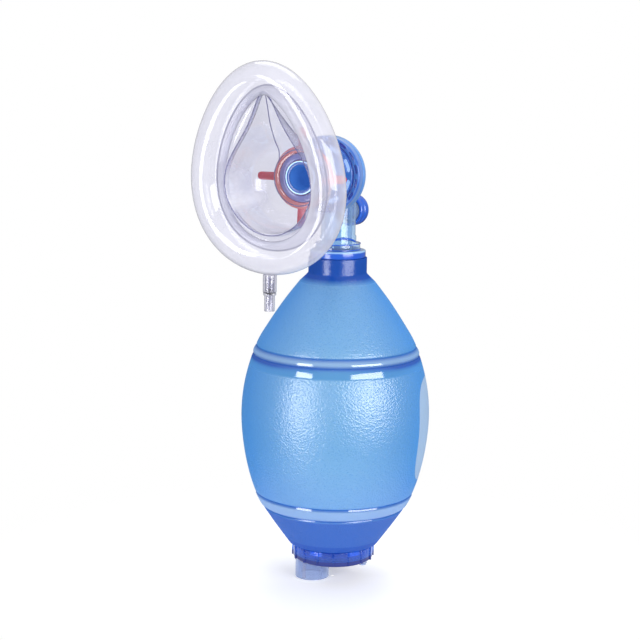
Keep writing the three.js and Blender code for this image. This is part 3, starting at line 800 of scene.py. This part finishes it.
def between(inner, outer, share):
    return lambda angle: inner(angle).lerp(outer(angle), share)


def mask_ring(point_at, depth, lean=1.0):
    """A ring at a depth along the port's axis, leaning towards the face at the nose end."""
    ring = []
    for j in range(AROUND):
        p = point_at(TAU * j / AROUND)
        ring.append(Vector((p.x, p.y, depth + lean * math.tan(MASK_TILT) * (p.y - MASK_LIFT))))
    return ring


def smooth_rings(rings, steps):
    """Rings between the given ones, on a smooth curve through them."""
    columns = [catmull_rom(list(column), steps) for column in zip(*rings)]
    return [list(row) for row in zip(*columns)]


def nose_blend(inner, outer, share, nose_share):
    """Between two outlines by one share round the cheeks, and by another under the bridge of the nose."""
    def point_at(angle):
        here = share + (nose_share - share) * min(1.0, max(0.0, math.cos(angle)) / 0.8) ** 1.5
        return inner(angle).lerp(outer(angle), here)
    return point_at


def bowl(throat, mouth, lift, steps=5):
    """The rings of the dome's bowl, from its throat beside the collar up to its mouth."""
    wall = circle(throat)
    return smooth_rings([
        mask_ring(circle(throat - 2), 54.6 + lift, 0),
        mask_ring(wall, 55.4 + lift, 0),
        mask_ring(nose_blend(wall, mouth, 0.5, 0.1), 60 + lift, 0.3),
        mask_ring(nose_blend(wall, mouth, 0.85, 0.29), 68 + lift, 0.6),
        mask_ring(nose_blend(wall, mouth, 1, 0.6), 81),
        mask_ring(nose_blend(wall, mouth, 1, 0.81), 90),
        mask_ring(mouth, 97),
    ], steps)


def bead(name, path, radius, material, closed=True):
    piece = bead_mesh(name, path, radius, material, PATIENT, closed)
    return stands_for(piece, "mask", "mask_vinyl")


def bead_mesh(name, path, radius, material, matrix, closed=True):
    """A thin round line along a path."""
    rings = []
    count = len(path)
    for i, point in enumerate(path):
        ahead = path[(i + 1) % count] if closed or i + 1 < count else path[i]
        behind = path[i - 1] if closed or i else path[0]
        turn = (ahead - behind).to_track_quat("Z", "Y")
        size = radius if closed else radius * min(1.0, 0.15 + 4 * math.sin(math.pi * i / (count - 1)))
        rings.append([point + turn @ Vector((*around(size, TAU * k / 8), 0)) for k in range(8)])
    return ring_skin(name, rings, material, matrix, sharp_angle=80, closed=closed)


def mask_dome():
    """A bowl with a raised lip round its mouth, and a flange whose edge is welded into the cushion."""
    outside = outset(lip, 1.5)
    rim = egg(RIM_SCALE)
    rim_edge = egg(RIM_SCALE - 0.02)
    inner_bowl = bowl(17.4, lip, 1.4)
    collar = [
        (COLLAR_BORE + 0.3, 35.2), (COLLAR_BORE + 0.8, 34.9), (MASK_COLLAR - 0.5, 34.9), (MASK_COLLAR, 35.4),
        (MASK_COLLAR, 53.4),
    ]
    flange = [
        (between(outside, rim, 0.1), 86.4), (between(outside, rim, 0.5), 88.4), (rim_edge, RIM_DEPTH - 0.9),
        (rim, RIM_DEPTH - 0.5), (rim, RIM_DEPTH + 0.5), (rim_edge, RIM_DEPTH + 0.8),
        (between(outside, rim, 0.5), 90.2), (between(outside, rim, 0.16), 90.2), (outset(lip, 1.8), 92),
        (outside, 95), (outset(lip, 1.3), LIP_DEPTH - 0.6), (outset(lip, 0.7), LIP_DEPTH),
        (outset(lip, 0.2), LIP_DEPTH - 0.6),
    ]
    rings = [
        *[mask_ring(circle(radius), depth, 0) for radius, depth in collar],
        *bowl(19, outside, 0)[3:-14],
        *[mask_ring(outline, depth) for outline, depth in flange],
        *inner_bowl[::-1], mask_ring(circle(COLLAR_BORE), 54.6, 0),
    ]
    dome = ring_skin("mask_dome_vinyl", rings, CLEAR_DOME, PATIENT, sharp_angle=60)
    # Painted reflection: whiter, milkier patches on the bowl's left wall, beside the left hook and below it,
    # where a lamp would be mirrored.
    painted_reflection = dome.data.attributes.new("painted_reflection", "FLOAT", "POINT")
    for i, vertex in enumerate(dome.data.vertices):
        x, _, z = vertex.co / MM
        up = z - VALVE_HEIGHT
        beside = math.exp(-(((x + 33) / 3.5) ** 2) - ((up - 2) / 12) ** 2)
        below = math.exp(-(((x + 27) / 6) ** 2) - ((up + 14) / 7) ** 2)
        painted_reflection.data[i].value = min(1.0, beside + below)
    stands_for(dome, "mask", "mask_vinyl", "mask_dome")
    # The red ring inside the collar's bore is a painted reflection of the hook band.
    for name, wall, material in (
        ("mask_collar_lilac", tube_between(11.9, 15.8, 52.6, 54.2, 0.5), COLLAR_LILAC),
        ("mask_collar_red", tube_between(11.2, 11.55, 46, 52.4, 0.1), PAINTED_HOOK_REFLECTION),
    ):
        stands_for(turned(name, wall, material, PATIENT), "mask", "mask_vinyl")

    bead("lip_line", mask_ring(outset(lip, 0.9), LIP_DEPTH), 0.35, SEAM)
    bead("rim_weld", mask_ring(egg(RIM_SCALE), RIM_DEPTH + 0.3), 0.5, RIM_LINE)
    bead("collar_step", mask_ring(circle(18.2), 56.6, 0), 0.4, SEAM)
    for side in (-1, 1):
        bead("nose_crease", nose_crease(inner_bowl, side), 0.32, SEAM, closed=False)


def nose_crease(rings, side):
    """A fold from the lip's nose end to the collar's side, where each of the bowl's rings crosses a line."""
    top = lip(0)
    end = Vector((side * 17, 2))
    direction = (end - top).normalized()
    path = []
    for ring in rings[:4:-1]:
        half = [p for p in ring if p.x * side >= 0 and p.y > 0]
        path.append(min(half, key=lambda p: abs(direction.cross(p.xy - top))))
    return catmull_rom(path[::5], 5)


def mask_cushion():
    """The inflated tube round the mask's rim, a little deeper than it is wide."""
    rings = []
    sections = 40
    for i in range(sections):
        turn = TAU * i / sections
        outline = outset(egg(), 1.3 + 10.7 * math.cos(turn))
        rings.append(mask_ring(outline, CUSHION_DEPTH + 12 * math.sin(turn)))
    cushion = ring_skin("mask_cushion_vinyl", rings, CLEAR_MASK, PATIENT)
    return stands_for(cushion, "mask", "mask_vinyl", "mask_cushion")


mask_dome()
mask_cushion()


HOOK_COUNT = 4


def hook_ring():
    band = turned("hook_ring_red", tube_between(MASK_COLLAR + 0.3, 20.6, 47.8, 52.9, 0.5), RED, PATIENT)
    half_width, reach = 2.6, 32.5
    tip = [
        (reach - half_width + half_width * math.cos(a), half_width * math.sin(a))
        for a in [math.radians(15 * k - 90) for k in range(13)]
    ]
    outline = [(18, -half_width), *tip, (18, half_width)]
    lift = Matrix.Translation((0, 0, 50.7))
    lean = Matrix.Rotation(math.radians(-4), 4, "Y")
    hooks = []
    for k in range(HOOK_COUNT):
        turn = Matrix.Rotation(TAU * k / HOOK_COUNT, 4, "Z")
        hooks.append(prism("hook", outline, -0.9, 0.9, RED, PATIENT @ turn @ lift @ lean))
    boolean(band, hooks, "UNION")
    return stands_for(softened(band, 0.35), "hook_ring", "hook_red", "hook_ring")


hook_ring()
stands_for(
    turned("hook_ring_face", tube_between(MASK_COLLAR + 0.5, 20.3, 52.7, 53.1, 0.15), SALMON, PATIENT),
    "hook_ring", "hook_red",
)

stands_for(
    turned("inflation_stem_soft", [
        (3.1, 0.3), (4.4, 0.0, 0.3), (4.4, 11.4, 0.5), (3.1, 11.4, 0.3),
    ], CLEAR_NIPPLE, INFLATION, 48),
    "mask", "mask_vinyl", "inflation_sleeve",
)
stands_for(
    turned("inflation_valve_tube", [
        (2.2, 2, 0.2), (2.8, 2, 0.2), (2.8, 11.7), (4.2, 11.7, 0.2), (4.2, 12.9, 0.3), (3.4, 13.6, 0.3),
        (3.4, 23.4, 0.3), (2.4, 23.4, 0.2), (2.2, 15),
    ], CLEAR_NIPPLE, INFLATION, 48),
    "mask", "clear_plastic", "inflation_valve_body",
)
stands_for(
    turned("inflation_seam", tube_between(2.85, 3.9, 11.42, 11.68, 0.05), BLACK, INFLATION, 40),
    "mask", "clear_plastic",
)
stands_for(
    turned("inflation_plunger", [
        (0, 9.6), (2.1, 9.6, 0.2), (2.1, 12.4, 0.2), (0.7, 13.4, 0.2), (0.7, 20, 0.2), (0, 20),
    ], BLACK, INFLATION, 32),
    "inflation_poppet", "black_plastic", "inflation_poppet",
)

inlet_thread()

# ---- Intake end ----
RIB_COUNT = 16
CAP_LOW = -104.3
RESERVOIR_OFFSET = 14.4
RESERVOIR_RADIUS = 11.9
RESERVOIR_LOW = -118.9
NIPPLE_OFFSET = 21
NIPPLE_LOW = -110.5
PORT_PLACE = INTAKE @ Matrix.Translation((-RESERVOIR_OFFSET, 0, 0))
NIPPLE_PLACE = INTAKE @ Matrix.Translation((NIPPLE_OFFSET, 0, 0))


def intake_cap():
    cap = turned("intake_cap_ribbed", [
        (0, CAP_LOW), (26.8, CAP_LOW, 0.8), (28, CAP_LOW + 1.4, 0.5), (28, -93.9, 0.5), (26.9, -93.9, 0.3),
        (26.9, CAP_LOW + 1.5, 0.5), (0, CAP_LOW + 1.5),
    ], CAP_BLUE, INTAKE, segments=144)
    rib = [(27.4, -0.8), (28.8, -0.6), (28.8, 0.6), (27.4, 0.8)]
    ribs = []
    for k in range(RIB_COUNT):
        turn = Matrix.Rotation(TAU * k / RIB_COUNT, 4, "Z")
        ribs.append(prism("rib", rib, CAP_LOW + 1, -94.1, CAP_BLUE, INTAKE @ turn))
    boolean(cap, ribs, "UNION")
    holes = [
        turned("port_hole", [(0, -107), (12.2, -107), (12.2, -101), (0, -101)], CAP_BLUE, PORT_PLACE),
        turned("nipple_hole", [(0, -107), (3.6, -107), (3.6, -101), (0, -101)], CAP_BLUE, NIPPLE_PLACE, 48),
    ]
    boolean(cap, holes, "DIFFERENCE")
    stands_for(softened(cap, 0.2), "bag", "deep_blue", "intake_cap")


def neck_threads():
    """Short runs of thread on the bag's rear neck, seen through the cap."""
    for k in range(6):
        for height in (-94.9, -95.9, -96.9):
            path = []
            for step in range(9):
                angle = INTAKE_TURN + math.radians(60 * k - 68 + 22 * step / 8)
                path.append(Vector((*around(26.5, angle), height)))
            thread = bead_mesh("neck_thread", path, 0.33, THREAD_PALE, BAG, closed=False)
            stands_for(thread, "bag", "bag_vinyl")


def port_plate():
    plate = turned("reservoir_port_clear", [
        (0, CAP_LOW + 1.8), (26.3, CAP_LOW + 1.8, 0.2), (26.3, -98.3, 0.2), (0, -98.3),
    ], CLEAR_PORT, INTAKE)
    added = [
        turned("port", [
            (0, RESERVOIR_LOW), (RESERVOIR_RADIUS, RESERVOIR_LOW, 0.6), (RESERVOIR_RADIUS, -99), (0, -99),
        ], CLEAR_PORT, PORT_PLACE, 72),
        turned("nipple", [
            (0, NIPPLE_LOW), (2.4, NIPPLE_LOW, 0.2), (3.2, NIPPLE_LOW + 2, 0.3), (2.7, NIPPLE_LOW + 2.4),
            (3.2, NIPPLE_LOW + 4.4, 0.3), (2.8, NIPPLE_LOW + 4.8), (2.8, -99), (0, -99),
        ], CLEAR_PORT, NIPPLE_PLACE, 40),
    ]
    boolean(plate, added, "UNION")
    bores = [
        turned("port_bore", [(0, -121), (10.1, -121), (10.1, -97), (0, -97)], CLEAR_PORT, PORT_PLACE, 72),
        turned("nipple_bore", [(0, -113), (1.4, -113), (1.4, -97), (0, -97)], CLEAR_PORT, NIPPLE_PLACE, 32),
    ]
    boolean(plate, bores, "DIFFERENCE")
    stands_for(plate, "bag", "clear_plastic", "reservoir_port_plate")
    key = arc_slot(RESERVOIR_RADIUS - 0.4, RESERVOIR_RADIUS + 0.25, math.radians(-118), math.radians(6), 4)
    key_piece = prism("port_key", key, RESERVOIR_LOW + 1, CAP_LOW - 0.1, CLEAR_NIPPLE, PORT_PLACE)
    stands_for(key_piece, "bag", "clear_plastic")
    root = tube_between(2.85, 4.3, CAP_LOW - 0.8, CAP_LOW + 0.2, 0.3)
    stands_for(turned("nipple_root", root, NAVY, NIPPLE_PLACE, 40), "bag", "deep_blue")


neck_threads()
intake_cap()
port_plate()

# ---- CAD nodes that stay, with their finishes ----
FINISHES = {
    "neck_seal_ring": SILICONE, "exhale_seat": PALE_SILICONE, "popoff_spring": STEEL,
    "inflation_spring": STEEL, "intake_gasket": SILICONE, "intake_valve_seat": CLEAR_PORT,
    "intake_flap": SILICONE,
}
for node, material in FINISHES.items():
    frame["nodes"][node].data.materials.clear()
    frame["nodes"][node].data.materials.append(material)


# ---- Floor, lights and camera ----
def stage():
    """A white sweep: a pale disc that fades into the white backdrop."""
    s = Shader("studio_floor")
    place = s.add("SeparateXYZ", _0=s.coordinates)
    squares = [s.math("POWER", place.outputs[axis], 2.0) for axis in (0, 1)]
    reach = s.math("SQRT", s.math("ADD", *squares))
    smoothly = {"interpolation_type": "SMOOTHSTEP"}
    fade = s.add("MapRange", smoothly, Value=reach, From_Min=FADE_START, From_Max=FADE_END).outputs[0]
    shade_of_white = s.spread(s.noise(90, 2.0), 0.9, 0.94)
    colour = s.add("CombineColor", Red=shade_of_white, Green=shade_of_white, Blue=shade_of_white).outputs[0]
    ground = s.add(
        "BsdfPrincipled", Base_Color=colour, Roughness=0.7, Specular_IOR_Level=0.2, Emission_Color=WHITE,
        Emission_Strength=FLOOR_GLOW,
    )
    clear = s.add("BsdfTransparent")
    material = s.finish(s.add("MixShader", _0=fade, _1=ground.outputs[0], _2=clear.outputs[0]).outputs[0])
    height = CAD_BOX[0][2] / MM - 0.2
    rings = [[(*around(radius, TAU * k / 64), height) for k in range(64)] for radius in (1, FLOOR_RADIUS)]
    ring_skin("studio_floor", rings, material, BAG, closed=False)


def outwards(azimuth, elevation):
    """The direction to an azimuth, counted from the mask's side, and an elevation, both in degrees."""
    a, e = math.radians(azimuth), math.radians(elevation)
    return Vector((math.sin(a) * math.cos(e), -math.cos(a) * math.cos(e), math.sin(e)))


def softbox(name, azimuth, elevation, distance, width, height, power):
    """An area light that faces the bag. Its place and size are in degrees and metres."""
    lamp = bpy.data.lights.new(name, "AREA")
    lamp.shape = "RECTANGLE"
    lamp.size, lamp.size_y = width, height
    lamp.energy = power
    light = bpy.data.objects.new(name, lamp)
    away = outwards(azimuth, elevation)
    light.location = Vector((0, 0, 0.06)) + away * distance
    light.rotation_euler = away.to_track_quat("Z", "Y").to_euler()
    bpy.context.scene.collection.objects.link(light)


FLOOR_GLOW = 0.3
FLOOR_RADIUS = 450
FADE_START = 0.09
FADE_END = 0.26
ROOM_LOW = 0.12
ROOM_HIGH = 0.6
CAMERA_AZIMUTH = 28
CAMERA_ELEVATION = 9.5
CAMERA_DISTANCE = 1.1
CAMERA_ROLL = 0.87
AIM_LEFT = 0.0115
AIM_HEIGHT = 0.0638


def camera():
    away = outwards(CAMERA_AZIMUTH, CAMERA_ELEVATION)
    right = Vector((*around(1, math.radians(CAMERA_AZIMUTH)), 0))
    data = bpy.data.cameras.new("camera")
    data.lens = 90
    data.sensor_width = 36
    data.clip_end = 50
    eye = bpy.data.objects.new("camera", data)
    eye.location = Vector((0, 0, AIM_HEIGHT)) - right * AIM_LEFT + away * CAMERA_DISTANCE
    roll = Euler((0, 0, math.radians(CAMERA_ROLL))).to_quaternion()
    eye.rotation_euler = (away.to_track_quat("Z", "Y") @ roll).to_euler()
    bpy.context.scene.collection.objects.link(eye)
    bpy.context.scene.camera = eye


def world():
    """White where the camera looks past the object, and a soft dim room, paler overhead, that lights it."""
    sky = bpy.data.worlds.new("studio")
    bpy.context.scene.world = sky
    sky.use_nodes = True
    nodes, links = sky.node_tree.nodes, sky.node_tree.links
    background = nodes["Background"]
    seen = nodes.new("ShaderNodeLightPath").outputs["Is Camera Ray"]
    height = nodes.new("ShaderNodeSeparateXYZ")
    links.new(nodes.new("ShaderNodeTexCoord").outputs["Generated"], height.inputs[0])
    room = nodes.new("ShaderNodeMapRange")
    links.new(height.outputs["Z"], room.inputs["Value"])
    room.inputs["From Min"].default_value = -0.4
    room.inputs["From Max"].default_value = 0.9
    room.inputs["To Min"].default_value = ROOM_LOW
    room.inputs["To Max"].default_value = ROOM_HIGH
    strength = nodes.new("ShaderNodeMix")
    links.new(seen, strength.inputs["Factor"])
    links.new(room.outputs[0], strength.inputs["A"])
    strength.inputs["B"].default_value = 1.0
    links.new(strength.outputs[0], background.inputs["Strength"])
    background.inputs["Color"].default_value = WHITE


stage()
world()
softbox("left_softbox", CAMERA_AZIMUTH - 43, 1, 1.2, 0.47, 0.9, 10.5)
softbox("right_softbox", CAMERA_AZIMUTH + 42, 9, 1.2, 0.95, 0.6, 12.5)
softbox("top_softbox", CAMERA_AZIMUTH + 170, 65, 1.4, 1.2, 0.8, 9)
camera()
bpy.context.scene.view_settings.view_transform = "Standard"
